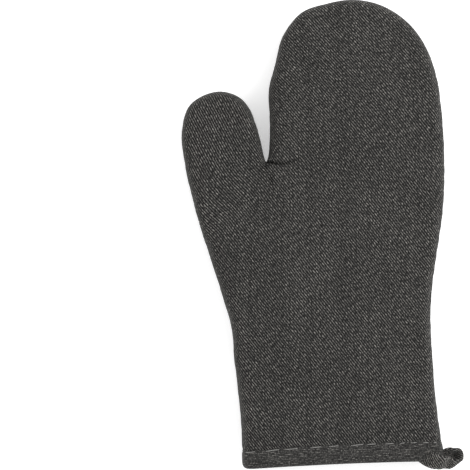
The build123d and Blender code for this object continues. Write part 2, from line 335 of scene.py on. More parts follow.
def surface(front, h, key="fine", P=P0, N=N0, S=S0, pitch=2.3, rings=RINGS, tuck=False, sim=True, seam_gap=0.0, y_low=0.0):
    """one panel of a layer, h inwards of the outer face. Returns vertices, faces and cloth coordinates (pattern mm)."""
    M = len(P)
    A = A_TOP if front else A_BOT
    s0 = seam_angle(S, P)
    end = math.pi / 2 if front else -math.pi / 2
    phi = s0[:, None] + (end - s0)[:, None] * rings[None, :]
    if seam_gap:
        phi = phi + (seam_gap if front else -seam_gap) * (1 - rings)[None, :]
    dip = cuff_dip(P[:, 1], front)[:, None] * np.ones_like(phi)
    dip = dip * sstep(np.abs(phi) / 1.2)
    hh = h + dip + (under_tape(P[:, 0], P[:, 1])[:, None] if tuck else 0.0)
    d, z = section(phi, hh)
    d[:, -1] = A
    # the seam line puckers and sinks
    seg = np.hypot(np.diff(d, axis=1), np.diff(z, axis=1))
    L = np.concatenate([np.zeros((M, 1)), np.cumsum(seg, axis=1)], axis=1)
    td, tz = np.gradient(d, axis=1), np.gradient(z, axis=1)
    ln = np.hypot(td, tz) + 1e-9
    nd, nz = (tz / ln, -td / ln) if front else (-tz / ln, td / ln)
    deep = 0.75 + 0.75 * np.clip(s0 / np.radians(23), 0, 1)
    sink = deep[:, None] * np.exp(-(L / 0.95) ** 2) if tuck else 0.0
    wob = np.sin(2 * math.pi * S / 9.4 + 2.2 * np.sin(S / 31.0)) * 0.6 + np.sin(2 * math.pi * S / 5.3 + 1.7 * np.sin(S / 17.0)) * 0.4
    amp = 0.10 * (0.55 + 0.45 * np.sin(S / 23.0 + (0 if front else 2)))
    sink = sink + (amp * wob)[:, None] * np.exp(-(L / 6.5) ** 2)
    sink[:, -1] = 0
    d = d + nd * sink
    z = z + nz * sink
    arc = L[:, -1:] - L
    if tuck:                                       # the allowance turned in at the seam
        t0d, t0z = td[:, 0] / ln[:, 0], tz[:, 0] / ln[:, 0]
        pre_d, pre_z, pre_a = [], [], []
        for inw, up in ((3.0, 0.10), (1.1, 0.12), (0.35, 0.20)):
            pre_d.append(d[:, 0] + nd[:, 0] * inw + t0d * (up - 0.3))
            pre_z.append(z[:, 0] + nz[:, 0] * inw + t0z * (up - 0.3))
            pre_a.append(arc[:, 0] + inw + 0.2)
        d = np.hstack([np.stack(pre_d, 1), d])
        z = np.hstack([np.stack(pre_z, 1), z])
        arc = np.hstack([np.stack(pre_a, 1), arc])
    K = d.shape[1]
    xy = P[:, None, :] + d[..., None] * N[:, None, :]
    uv = P[:, None, :] + (A - arc)[..., None] * N[:, None, :]
    allp, nr, tris = interior(front, pitch, P, N, key)
    inner = allp[nr:]
    dist = edge_distance(allp[nr:])
    ring_fade = np.clip((d / A), 0, 1) ** 2
    rz = relief(xy[..., 0], xy[..., 1], front) * ring_fade
    if front:
        rz = rz + crease(xy[..., 0], xy[..., 1]) * sstep(d / 2.6)
    z = z + rz
    zi = (Z_EQ + H_TOP - h if front else Z_EQ - H_BOT + h) + np.zeros(len(inner))
    dips = cuff_dip(inner[:, 1], front) + (under_tape(inner[:, 0], inner[:, 1]) if tuck else 0.0)
    zi += (-dips if front else dips)
    over = np.clip(dist - A, 0, None)
    if front:
        zi += CROWN * (1 - np.exp(-(over / 26) ** 1.5))
    zi += relief(inner[:, 0], inner[:, 1], front)
    if front:
        zi += crease(inner[:, 0], inner[:, 1])
    V = np.zeros((M * K + len(inner), 3))
    V[:M * K, 0] = xy[..., 0].ravel()
    V[:M * K, 1] = xy[..., 1].ravel()
    V[:M * K, 2] = z.ravel()
    V[M * K:, :2] = inner
    V[M * K:, 2] = zi
    UV = np.vstack([uv.reshape(-1, 2), inner])
    F = []
    i = np.arange(M - 1)[:, None]
    k = np.arange(K - 1)[None, :]
    q = np.stack([i * K + k, (i + 1) * K + k, (i + 1) * K + k + 1, i * K + k + 1], -1).reshape(-1, 4)
    F += [tuple(f) for f in (q if not front else q[:, ::-1]).tolist()]
    where = np.concatenate([np.arange(nr) * K + K - 1, M * K + np.arange(len(inner))])
    F += [tuple(int(where[v]) for v in (t if front else t[::-1])) for t in tris]
    V[:, 1] = V[:, 1] + y_low * (1 - sstep(V[:, 1] / 16))
    V[:, 1] = warp(V[:, 0], V[:, 1])
    UV[:, 1] = warp(UV[:, 0], UV[:, 1])
    if sim and SWELL:
        move = simulated(V[:, 0], V[:, 1], V[:, 2], front)
        move *= (0.15 + 0.85 * sstep((unwarp(V[:, 0], V[:, 1]) - 14) / 12))[:, None]
        V = V + move
        if not front:
            V[:, 2] = np.maximum(V[:, 2], 0.02 + h)
    return V, F, UV


# ---------------------------------------------------------------- meshes
def new_object(name, V, F, uv=None, loop_normals=None, material=None):
    me = bpy.data.meshes.new(name)
    me.from_pydata([tuple(v) for v in V.tolist()], [], F)
    me.update()
    me.shade_smooth()
    if uv is not None:
        layer = me.uv_layers.new(name="cloth")
        idx = np.zeros(len(me.loops), np.int32)
        me.loops.foreach_get("vertex_index", idx)
        layer.data.foreach_set("uv", np.asarray(uv, np.float32)[idx].ravel())
    if loop_normals is not None:
        me.normals_split_custom_set(loop_normals)
    if material is not None:
        me.materials.append(material)
    ob = bpy.data.objects.new(name, me)
    bpy.context.scene.collection.objects.link(ob)
    return ob


def cloth_coordinates(UV, thumb):
    """the weave leans a little more on the thumb and less at the finger tips"""
    u = UV.copy()
    n = (u - CROTCH) @ N_T
    left = u[:, 0] < -33.0
    a = np.radians(9.5) * sstep((n + 6) / 40) * left
    b = -np.radians(4.0) * sstep((u[:, 1] - 190) / 110) * (~left)
    c1 = np.array([-62.0, 222.0])
    c2 = np.array([28.0, 235.0])
    out = u.copy()
    for ang, c in ((a, c1), (b, c2)):
        r = u - c
        rot = np.stack([r[:, 0] * np.cos(ang) - r[:, 1] * np.sin(ang), r[:, 0] * np.sin(ang) + r[:, 1] * np.cos(ang)], 1)
        out += rot - r
    return out / 1000.0


def split_thumb(V, F, UV):
    """cuts a panel along the line from the crotch to the side, and returns both parts with normals of the whole"""
    me = bpy.data.meshes.new("cut")
    me.from_pydata([tuple(v) for v in V.tolist()], [], F)
    bm = bmesh.new()
    bm.from_mesh(me)
    lx, ly = bm.verts.layers.float.new("cu"), bm.verts.layers.float.new("cv")
    bm.verts.ensure_lookup_table()
    for v, (a, b) in zip(bm.verts, UV.tolist()):
        v[lx], v[ly] = a, b
    faces = []
    for f in bm.faces:
        c = f.calc_center_median()
        if c.x < CROTCH[0] + 0.02:
            faces.append(f)
    geom = set(faces)
    for f in faces:
        geom.update(f.edges)
        geom.update(f.verts)
    bmesh.ops.bisect_plane(bm, geom=list(geom), dist=1e-5, plane_co=(CROTCH[0], CROTCH[1], 0), plane_no=(N_T[0], N_T[1], 0))
    bm.normal_update()
    bm.verts.ensure_lookup_table()
    bm.verts.index_update()
    V2 = np.array([v.co[:] for v in bm.verts])
    N2 = np.array([v.normal[:] for v in bm.verts])
    UV2 = np.array([(v[lx], v[ly]) for v in bm.verts])
    parts = {"hand": [], "thumb": []}
    for f in bm.faces:
        c = f.calc_center_median()
        thumb = c.x < CROTCH[0] + 0.02 and (c.x - CROTCH[0]) * N_T[0] + (c.y - CROTCH[1]) * N_T[1] > 0
        parts["thumb" if thumb else "hand"].append([v.index for v in f.verts])
    bm.free()
    bpy.data.meshes.remove(me)
    out = {}
    for name, fs in parts.items():
        used = np.unique(np.concatenate([np.array(f) for f in fs]))
        new = -np.ones(len(V2), int)
        new[used] = np.arange(len(used))
        out[name] = (V2[used], [tuple(int(new[v]) for v in f) for f in fs], UV2[used], N2[used])
    return out


def thicken(V, F, UV, N, t):
    """a closed sheet: the outer face, the inner face t inwards, and the rim"""
    n = len(V)
    V2 = np.vstack([V, V - N * t])
    uses = {}
    for f in F:
        for a, b in zip(f, f[1:] + f[:1]):
            uses[(a, b)] = True
    rim = [(a, b) for (a, b) in uses if (b, a) not in uses]
    F2 = list(F) + [tuple(v + n for v in f[::-1]) for f in F] + [(b, a, a + n, b + n) for a, b in rim]
    normals = []
    Nl, Ni = N.tolist(), (-N).tolist()
    for f in F:
        normals += [Nl[v] for v in f]
    for f in F:
        normals += [Ni[v] for v in f[::-1]]
    normals += [(0.0, 0.0, 0.0)] * (4 * len(rim))
    return V2, F2, np.vstack([UV, UV]), normals


# ---------------------------------------------------------------- materials
class Graph:
    def __init__(self, name):
        self.m = bpy.data.materials.new(name)
        self.m.use_nodes = True
        self.t = self.m.node_tree
        self.t.nodes.clear()
        self.out = self.t.nodes.new("ShaderNodeOutputMaterial")
        self.bsdf = self.t.nodes.new("ShaderNodeBsdfPrincipled")
        self.t.links.new(self.bsdf.outputs[0], self.out.inputs[0])

    def put(self, sock, val):
        if isinstance(val, bpy.types.NodeSocket):
            self.t.links.new(val, sock)
        elif val is not None:
            sock.default_value = val

    def math(self, op, a, b=None, c=None, clamp=False):
        n = self.t.nodes.new("ShaderNodeMath")
        n.operation, n.use_clamp = op, clamp
        for s, v in zip(n.inputs, (a, b, c)):
            self.put(s, v)
        return n.outputs[0]

    def add(self, a, b): return self.math("ADD", a, b)
    def sub(self, a, b): return self.math("SUBTRACT", a, b)
    def mul(self, a, b): return self.math("MULTIPLY", a, b)
    def mad(self, a, b, c): return self.math("MULTIPLY_ADD", a, b, c)

    def uv(self):
        n = self.t.nodes.new("ShaderNodeUVMap")
        n.uv_map = "cloth"
        s = self.t.nodes.new("ShaderNodeSeparateXYZ")
        self.t.links.new(n.outputs[0], s.inputs[0])
        return s.outputs[0], s.outputs[1]

    def vec(self, x, y, z=0.0):
        n = self.t.nodes.new("ShaderNodeCombineXYZ")
        for s, v in zip(n.inputs, (x, y, z)):
            self.put(s, v)
        return n.outputs[0]

    def noise(self, vector, scale=1.0, detail=2.0, rough=0.5, distort=0.0):
        n = self.t.nodes.new("ShaderNodeTexNoise")
        n.inputs["Scale"].default_value = scale
        n.inputs["Detail"].default_value = detail
        n.inputs["Roughness"].default_value = rough
        n.inputs["Distortion"].default_value = distort
        self.t.links.new(vector, n.inputs["Vector"])
        return n.outputs[0]

    def white(self, vector):
        n = self.t.nodes.new("ShaderNodeTexWhiteNoise")
        n.noise_dimensions = "3D"
        self.t.links.new(vector, n.inputs["Vector"])
        return n.outputs["Value"]

    def ramp(self, fac, stops, mode="LINEAR"):
        n = self.t.nodes.new("ShaderNodeValToRGB")
        n.color_ramp.interpolation = mode
        e = n.color_ramp.elements
        while len(e) < len(stops):
            e.new(0.5)
        for el, (pos, col) in zip(e, stops):
            el.position = pos
            el.color = (*col, 1.0)
        self.t.links.new(fac, n.inputs[0])
        return n.outputs[0]

    def mix(self, fac, a, b, mode="MIX"):
        n = self.t.nodes.new("ShaderNodeMix")
        n.data_type, n.blend_type = "RGBA", mode
        self.put(n.inputs[0], fac)
        for s, v in ((n.inputs[6], a), (n.inputs[7], b)):
            self.put(s, (*v, 1.0) if isinstance(v, tuple) else v)
        return n.outputs[2]

    def bump(self, height, distance, strength=1.0):
        n = self.t.nodes.new("ShaderNodeBump")
        n.inputs["Distance"].default_value = distance
        n.inputs["Strength"].default_value = strength
        self.t.links.new(height, n.inputs["Height"])
        self.t.links.new(n.outputs[0], self.bsdf.inputs["Normal"])


def grey(v, warm=1.0):
    return (v * (1 + 0.035 * warm), v * (1 + 0.005 * warm), v * (1 - 0.045 * warm))


def twill(name, p, q, run, dark, light, fleck, contrast, bump_mm, sheen=0.05, along=0.0, seed=0.0, base=0.35, lines=0.33):
    """p, q: thread spacing in metres across and along the warp. run: threads in a twill repeat."""
    g = Graph(name)
    x, y = g.uv()
    u, v = g.mul(x, 1.0 / p), g.mul(y, 1.0 / q)
    if along:                                # tape: swap so that the lines run lengthwise
        u, v = v, u
    wander = g.noise(g.vec(g.mul(x, 55.0), g.mul(y, 55.0), seed), 1.0, 1.0)
    u = g.add(u, g.mul(g.sub(wander, 0.5), 0.9))
    s, t = g.add(u, v), g.sub(u, v)
    line = g.math("COSINE", g.mul(s, 2 * math.pi / run))                       # the twill ridges
    i, j = g.math("FLOOR", u), g.math("FLOOR", v)
    fu, fv = g.sub(g.math("FRACT", u), 0.5), g.sub(g.math("FRACT", v), 0.5)
    m = g.math("FLOORED_MODULO", g.add(i, j), float(run))
    weft = g.math("LESS_THAN", m, 1.0)
    cell = g.white(g.vec(i, j, seed + 3.0))
    thread = g.white(g.vec(i, 7.0, seed + 5.0))
    slub = g.noise(g.vec(g.mul(s, 0.95), g.mul(t, 0.21), seed + 1.0), 1.0, 1.0, 0.5)      # flecks drawn out along the ridges
    speck = g.noise(g.vec(g.mul(u, 0.55), g.mul(v, 0.40), seed + 2.0), 1.0, 2.0, 0.7)
    warp_up = g.noise(g.vec(g.mul(i, 0.93), g.mul(v, 0.11), seed + 4.0), 1.0, 2.0, 0.6)
    cloud = g.noise(g.vec(g.mul(x, 34.0), g.mul(y, 26.0), seed + 6.0), 1.0, 3.0, 0.55)
    f = g.mul(line, lines * contrast)
    f = g.add(f, g.mul(g.sub(slub, 0.5), 1.45 * contrast))
    f = g.add(f, g.mul(g.sub(speck, 0.5), 0.95 * contrast))
    f = g.add(f, g.mul(g.sub(warp_up, 0.5), 0.35 * contrast))
    f = g.add(f, g.mul(g.sub(thread, 0.5), 0.07 * contrast))
    f = g.add(f, g.mul(g.mul(weft, g.add(cell, 0.15)), 0.26 * contrast))
    f = g.add(f, g.mul(g.sub(cloud, 0.5), 0.10))
    f = g.add(f, base)
    col = g.ramp(f, [(0.0, grey(dark)), (0.34, grey(dark * 2.6)), (0.66, grey(light)), (1.0, grey(fleck, 1.6))])
    g.t.links.new(col, g.bsdf.inputs["Base Color"])
    g.bsdf.inputs["Roughness"].default_value = 0.92
    g.bsdf.inputs["Specular IOR Level"].default_value = 0.18
    g.bsdf.inputs["Sheen Weight"].default_value = sheen
    g.bsdf.inputs["Sheen Roughness"].default_value = 0.45
    g.bsdf.inputs["Sheen Tint"].default_value = (0.75, 0.74, 0.72, 1.0)
    hw = g.sub(1.0, g.mul(g.mul(fu, fu), 3.2))
    hf = g.sub(0.75, g.mul(g.mul(fv, fv), 3.0))
    hgt = g.add(g.mul(hw, g.sub(1.0, weft)), g.mul(hf, weft))
    hgt = g.add(hgt, g.mul(line, 0.55))
    hgt = g.add(hgt, g.mul(g.sub(slub, 0.5), 1.6))
    g.bump(hgt, bump_mm / 1000.0, 0.8)
    return g.m


def ribbed_tape():
    """the binding: fine ribs along the strip, crossed by short uneven picks"""
    g = Graph("ribbed_tape")
    x, y = g.uv()
    u, v = g.mul(x, 1.0 / 0.00062), g.mul(y, 1.0 / 0.00058)
    wander = g.noise(g.vec(g.mul(x, 90.0), g.mul(y, 60.0), 20.0), 1.0, 1.0)
    v = g.add(v, g.mul(g.sub(wander, 0.5), 1.1))
    i, j = g.math("FLOOR", u), g.math("FLOOR", v)
    fu, fv = g.sub(g.math("FRACT", u), 0.5), g.sub(g.math("FRACT", v), 0.5)
    over = g.math("LESS_THAN", g.math("FLOORED_MODULO", g.add(i, j), 2.0), 1.0)
    rib = g.math("COSINE", g.mul(v, math.pi))
    cell = g.white(g.vec(i, j, 23.0))
    streak = g.noise(g.vec(g.mul(u, 0.12), g.mul(v, 0.85), 21.0), 1.0, 2.0, 0.6)
    tick = g.noise(g.vec(g.mul(u, 0.62), g.mul(v, 0.42), 22.0), 1.0, 2.0, 0.6)
    cloud = g.noise(g.vec(g.mul(x, 60.0), g.mul(y, 90.0), 26.0), 1.0, 2.0, 0.55)
    f = g.mul(rib, 0.20)
    f = g.add(f, g.mul(g.sub(streak, 0.5), 1.2))
    f = g.add(f, g.mul(g.sub(tick, 0.5), 1.75))
    f = g.add(f, g.mul(g.mul(over, g.add(cell, 0.1)), 0.16))
    f = g.add(f, g.mul(g.sub(cloud, 0.5), 0.25))
    f = g.add(f, 0.40)
    col = g.ramp(f, [(0.0, grey(0.006)), (0.34, grey(0.016)), (0.68, grey(0.046)), (1.0, grey(0.18, 1.4))])
    g.t.links.new(col, g.bsdf.inputs["Base Color"])
    g.bsdf.inputs["Roughness"].default_value = 0.9
    g.bsdf.inputs["Specular IOR Level"].default_value = 0.2
    g.bsdf.inputs["Sheen Weight"].default_value = 0.05
    g.bsdf.inputs["Sheen Roughness"].default_value = 0.45
    hw, hf = g.sub(1.0, g.mul(g.mul(fu, fu), 3.0)), g.sub(1.0, g.mul(g.mul(fv, fv), 3.0))
    hgt = g.add(g.mul(hw, over), g.mul(hf, g.sub(1.0, over)))
    hgt = g.add(hgt, g.mul(streak, 1.2))
    g.bump(hgt, 0.00014, 0.8)
    return g.m


def thread_material(name, lo, hi, seed):
    g = Graph(name)
    x, y = g.uv()
    ply = g.math("SINE", g.mul(g.add(g.mul(x, 3600.0), g.mul(y, 1.0 * 2 * math.pi)), 1.0))
    n = g.noise(g.vec(g.mul(x, 900.0), g.mul(y, 4.0), seed), 1.0, 3.0)
    f = g.add(g.mul(ply, 0.18), g.add(g.mul(n, 0.7), 0.15))
    g.t.links.new(g.ramp(f, [(0.0, grey(lo)), (1.0, grey(hi))]), g.bsdf.inputs["Base Color"])
    g.bsdf.inputs["Roughness"].default_value = 0.6
    g.bsdf.inputs["Sheen Weight"].default_value = 0.2
    g.bump(ply, 0.00008, 0.7)
    return g.m


def wadding_material():
    g = Graph("cotton_wadding")
    x, y = g.uv()
    n = g.noise(g.vec(g.mul(x, 400.0), g.mul(y, 400.0), 1.0), 1.0, 6.0, 0.7, 1.5)
    g.t.links.new(g.ramp(n, [(0.25, (0.55, 0.52, 0.46)), (0.75, (0.86, 0.84, 0.79))]), g.bsdf.inputs["Base Color"])
    g.bsdf.inputs["Roughness"].default_value = 0.97
    g.bump(n, 0.0006, 0.8)
    return g.m


SHELL = twill("bull_twill", 0.0005075, 0.00065, 4, 0.004, 0.052, 0.26, 0.94, 0.16, base=0.353)
TAPE = ribbed_tape()
LOOPTAPE = twill("loop_tape", 0.00050, 0.00050, 4, 0.004, 0.050, 0.30, 1.0, 0.2, seed=40.0, lines=0.40)
LINING = twill("plain_lining", 0.00042, 0.00042, 2, 0.035, 0.085, 0.17, 0.5, 0.08, sheen=0.15, seed=60.0)
TOPTHREAD = thread_material("grey_top_thread", 0.07, 0.24, 1.0)
SEAMTHREAD = thread_material("dark_seam_thread", 0.012, 0.055, 2.0)
WADDING = wadding_material()

# ---------------------------------------------------------------- panels


def bend(ob, part):
    if part == "hand":
        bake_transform(ob)
    else:
        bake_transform(ob)


def layer(kind, front, h, t, mat, slot, tuck, key, P, N, S, pitch, rings, gap=0.0):
    V, F, UV = surface(front, h, key, P, N, S, pitch, rings, tuck=tuck, seam_gap=gap, y_low=2.2 if tuck else 3.6)
    parts = split_thumb(V, F, UV)
    side = "front" if front else "back"
    for part, (v, f, uv, n) in parts.items():
        V2, F2, UV2, nn = thicken(v, f, uv, n, t)
        ob = new_object(f"{side}_{kind}_{part}_piece", rows(V2), F2, cloth_coordinates(UV2, part == "thumb"), nn, mat)
        nodes = [f"{side}_{kind}_palm", f"{side}_{kind}_fingers"] if part == "hand" else [f"{side}_{kind}_thumb"]
        bend(ob, part)
        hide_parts(*nodes)


P1, N1, S1, _ = outline_samples(2.0)
RINGS1 = np.array([0.0, 0.08, 0.2, 0.36, 0.55, 0.78, 1.0])


def simulate_cloth():
    """both outer panels, sewn at the seam and held at the cuff, swell and wrinkle over their wadding"""
    K = len(RINGS1)
    Vf, Ff, _ = surface(True, 0.0, "coarse", P1, N1, S1, 5.0, RINGS1, sim=False)
    Vb, Fb, _ = surface(False, 0.0, "coarse", P1, N1, S1, 5.0, RINGS1, sim=False)
    M = len(P1)
    index = np.arange(len(Vb)) + len(Vf)
    seam = np.arange(M) * K
    index[seam] = seam
    F = list(Ff) + [tuple(int(index[v]) for v in f) for f in Fb]
    V = np.vstack([Vf, Vb])
    me = bpy.data.meshes.new("cloth_sim")
    me.from_pydata([tuple(v) for v in rows(V).tolist()], [], F)
    ob = bpy.data.objects.new("cloth_sim", me)
    bpy.context.scene.collection.objects.link(ob)
    held = ob.vertex_groups.new(name="held")
    ids = set(seam.tolist())
    low = unwarp(V[:, 0], V[:, 1])
    for i in range(len(V)):
        if i in ids:
            held.add([i], 1.0, "REPLACE")
        elif low[i] < 17:
            held.add([i], 1.0, "REPLACE")
        elif low[i] < 26:
            held.add([i], float(0.4 * (26 - low[i]) / 9), "REPLACE")
    mod = ob.modifiers.new("cloth", "CLOTH")
    c = mod.settings
    c.quality = 6
    c.mass = 0.25
    c.tension_stiffness = c.compression_stiffness = 22
    c.shear_stiffness = 12
    c.bending_stiffness = 1.2
    c.tension_damping = c.compression_damping = c.shear_damping = 8
    c.air_damping = 3
    c.vertex_group_mass = "held"
    c.pin_stiffness = 1.0
    c.use_pressure = True
    c.uniform_pressure_force = 2.2
    c.shrink_min = -0.035
    c.effector_weights.gravity = 0
    sc = bpy.context.scene
    last = 24
    mod.point_cache.frame_start, mod.point_cache.frame_end = 1, last
    sc.frame_start, sc.frame_end = 1, last
    for f in range(1, last + 1):
        sc.frame_set(f)
    dg = bpy.context.evaluated_depsgraph_get()
    e = ob.evaluated_get(dg).to_mesh()
    co = np.zeros(len(V) * 3, np.float32)
    e.vertices.foreach_get("co", co)
    moved = (co.reshape(-1, 3).astype(float) - rows(V)) * 1000.0
    ob.evaluated_get(dg).to_mesh_clear()
    ob.modifiers.remove(mod)
    bpy.data.objects.remove(ob)
    sc.frame_set(1)
    for front, part in ((True, np.arange(len(Vf))), (False, np.arange(len(Vb)))):
        ii = part if front else index[part]
        dsp = moved[ii].copy()
        rest = V[ii]
        z = dsp[:, 2] if front else -dsp[:, 2]
        mid = np.median(z[z > 0.2]) if (z > 0.2).any() else 0.0
        flat = np.minimum(z, mid * 0.5 + 0.5 * z)                    # keeps the hollows, halves the swell
        keep = flat - 0.75 * mid * sstep(z / max(mid, 1e-6))
        cap = 2.2
        keep = cap * np.tanh(keep / cap)
        dsp[:, 2] = keep if front else -keep
        dsp[:, :2] = 0.3 * np.tanh(dsp[:, :2] * 0.3 / 0.3)
        tree = kdtree.KDTree(len(rest))
        for k, p in enumerate(rest.tolist()):
            tree.insert(p, k)
        tree.balance()
        SWELL[front] = (tree, dsp)


simulate_cloth()

for front in (True, False):
    layer("shell", front, 0.0, 0.85, SHELL, "twill_cloth", True, "fine", P0, N0, S0, 2.3, RINGS)
    layer("batting", front, 1.9, 2.4, WADDING, "batting", False, "coarse", P1, N1, S1, 5.0, RINGS1, 0.1)
    layer("lining", front, 5.1, 0.6, LINING, "lining_cloth", False, "coarse", P1, N1, S1, 5.0, RINGS1, 0.04)


# ---------------------------------------------------------------- tubes, stitches and swept tape
def tube(points, radius, sides=8, taper=0.55):
    """a capped tube, with cloth coordinates along it"""
    p = np.asarray(points, float)
    n = len(p)
    T = np.gradient(p, axis=0)
    T /= np.linalg.norm(T, axis=1)[:, None]
    up = np.array([0.0, 0.0, 1.0]) if abs(T[0, 2]) < 0.9 else np.array([1.0, 0.0, 0.0])
    r = np.full(n, radius)
    r[0] = r[-1] = radius * taper
    V, UV = [], []
    run = np.concatenate([[0], np.cumsum(np.linalg.norm(np.diff(p, axis=0), axis=1))])
    for k in range(n):
        a = np.cross(T[k], up)
        a /= np.linalg.norm(a)
        b = np.cross(T[k], a)
        for q in range(sides):
            w = 2 * math.pi * q / sides
            V.append(p[k] + r[k] * (a * math.cos(w) + b * math.sin(w)))
            UV.append((run[k] / 1000, q / sides))
    F = []
    for k in range(n - 1):
        for q in range(sides):
            q2 = (q + 1) % sides
            F.append((k * sides + q, (k + 1) * sides + q, (k + 1) * sides + q2, k * sides + q2))
    V += [p[0] - T[0] * radius * 0.5, p[-1] + T[-1] * radius * 0.5]
    UV += [(0, 0), (run[-1] / 1000, 0)]
    c0, c1 = n * sides, n * sides + 1
    for q in range(sides):
        q2 = (q + 1) % sides
        F.append((c0, q, q2))
        F.append((c1, (n - 1) * sides + q2, (n - 1) * sides + q))
    return np.array(V), F, np.array(UV)


class Heap:
    def __init__(self):
        self.V, self.F, self.U, self.n = [], [], [], 0

    def add(self, V, F, U):
        self.V.append(V)
        self.U.append(U)
        self.F += [tuple(v + self.n for v in f) for f in F]
        self.n += len(V)

    def build(self, name, mat):
        return new_object(name, rows(np.vstack(self.V)), self.F, np.vstack(self.U), None, mat)


def section_point(s, h, dphi=0.0):
    """a point on the seam line at length s round the edge, h inwards"""
    P = np.stack([np.interp(s, S0, P0[:, 0]), np.interp(s, S0, P0[:, 1])], 1)
    N = np.stack([np.interp(s, S0, N0[:, 0]), np.interp(s, S0, N0[:, 1])], 1)
    N /= np.linalg.norm(N, axis=1)[:, None]
    phi = seam_angle(s, P) + dphi
    d, z = section(phi, h)
    q = P + d[:, None] * N
    out = np.column_stack([q[:, 0], warp(q[:, 0], q[:, 1]), z])
    return out, P


def seam_stitches(kind, h, pitch, length, radius, mat, dphi_gap):
    heaps = {"hand": Heap(), "thumb": Heap()}
    r = np.random.default_rng(11)
    n = int((LENGTH - 6) / pitch)
    for k in range(n):
        a = 3 + k * pitch + r.uniform(-0.15, 0.15)
        s = np.linspace(a, a + length, 6)
        pts, P = section_point(s, h)
        dive = np.array([0.9, 0.15, 0.0, 0.0, 0.15, 0.9]) * radius * 1.5
        deep, _ = section_point(s, h + 1.0)
        pts = pts + (deep - pts) * dive[:, None]
        m = P.mean(0)
        thumb = m[0] < CROTCH[0] and (m - CROTCH) @ N_T > 0
        V, F, U = tube(pts, radius, 6)
        heaps["thumb" if thumb else "hand"].add(V, F, U)
    for part, hp in heaps.items():
        ob = hp.build(f"{kind}_seam_stitches_{part}", mat)
        bend(ob, part)
        nodes = [f"{kind}_seam_thread_palm", f"{kind}_seam_thread_fingers"] if part == "hand" else [f"{kind}_seam_thread_thumb"]
        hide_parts(*nodes)


seam_stitches("shell", 1.15, 3.1, 2.5, 0.22, SEAMTHREAD, 0)
seam_stitches("lining", 5.35, 3.3, 2.6, 0.2, SEAMTHREAD, 0)


# ---------------------------------------------------------------- cuff binding
def perimeter(step):
    """samples round the cuff: kind 0 left edge, 1 top, 2 right edge, 3 underside"""
    xl, xr = x_sides(6.0)
    k, v = [], []
    n = 16
    for a in np.linspace(0, math.pi / 2, n, endpoint=False):
        k.append(0); v.append(a)
    m = int((xr - xl - 2 * A_TOP) / step)
    for f in np.linspace(0, 1, m, endpoint=False):
        k.append(1); v.append(f)
    for a in np.linspace(math.pi / 2, -math.pi / 2, 2 * n, endpoint=False):
        k.append(2); v.append(a)
    m = int((xr - xl - 2 * A_BOT) / step)
    for f in np.linspace(1, 0, m, endpoint=False):
        k.append(3); v.append(f)
    for a in np.linspace(-math.pi / 2, 0, n, endpoint=False):
        k.append(0); v.append(a)
    return np.array(k), np.array(v, float)


def cuff_xyz(kind, val, off, ys):
    """a point off inwards of the mitt's outer face, ys above the cuff end"""
    off = np.broadcast_to(off, kind.shape).astype(float)
    ys = np.broadcast_to(ys, kind.shape).astype(float)
    xl, xr = x_sides(np.clip(ys, 0, 50))
    edge = (kind == 0) | (kind == 2)
    phi = np.where(edge, val, 0)
    up = np.where(kind == 1, True, np.where(kind == 3, False, phi >= 0))
    dip = np.where(up, cuff_dip(ys, True), cuff_dip(ys, False)) * np.where(edge, sstep(np.abs(phi) / 1.2), 1.0)
    d, z = section(phi, off + dip)
    x = np.where(kind == 0, xl + d, xr - d)
    xt = xl + A_TOP + val * (xr - xl - 2 * A_TOP)
    xb = xl + A_BOT + val * (xr - xl - 2 * A_BOT)
    dist_t = np.minimum(xt - xl, xr - xt) - A_TOP
    x = np.where(kind == 1, xt, np.where(kind == 3, xb, x))
    zt = Z_EQ + H_TOP - off - dip + CROWN * (1 - np.exp(-(np.clip(dist_t, 0, None) / 26) ** 1.5)) + relief(xt, ys, True)
    zb = Z_EQ - H_BOT + off + dip + relief(xb, ys, False)
    dd = np.clip(d / np.where(up, A_TOP, A_BOT), 0, 1) ** 2
    z = np.where(edge, z + np.where(up, relief(x, ys, True), relief(x, ys, False)) * dd, np.where(kind == 1, zt, zb))
    return np.column_stack([x, warp(x, ys), z])


kind, val = perimeter(1.6)
base = cuff_xyz(kind, val, 0.0, 6.0)
around = np.concatenate([[0], np.cumsum(np.linalg.norm(np.diff(np.vstack([base, base[:1]]), axis=0), axis=1))])[:-1]


def tape_profile(w, wave, thick=0.72):
    """the folded tape across its width: outer leg from its folded edge down, round the cuff end, inner leg up.
    Pairs of (inwards, above the cuff end)."""
    outer = []
    st = w - 1.0
    for y in np.concatenate([[w], w - np.array([0.25, 0.55, 0.9, 1.3, 1.8, 2.5, 3.5]), np.linspace(w - 4.8, 3.0, 6)]):
        o = -0.12 + 0.62 * math.exp(-((y - st) / 0.75) ** 2) * (0.75 + 0.25 * wave) - 0.28 * math.exp(-((y - w * 0.5) / 4.0) ** 2)
        outer.append((o, y))
    outer[0] = (outer[0][0] + 0.34, w)
    for a in np.linspace(0, math.pi, 11)[1:-1]:
        outer.append((3.05 - 3.05 * math.cos(a), 3.0 - 3.0 * math.sin(a)))
    for y in np.linspace(3.0, w - 1.6, 7):
        outer.append((6.1 - 0.1 * math.sin(y), y))
    outer = np.array(outer)
    T = np.gradient(outer, axis=0)
    T /= np.linalg.norm(T, axis=1)[:, None]
    Nn = np.stack([-T[:, 1], T[:, 0]], 1)          # towards the inside of the fold
    inner = outer + Nn * thick
    inner[0, 1] = w - 0.02
    return outer, inner[::-1]


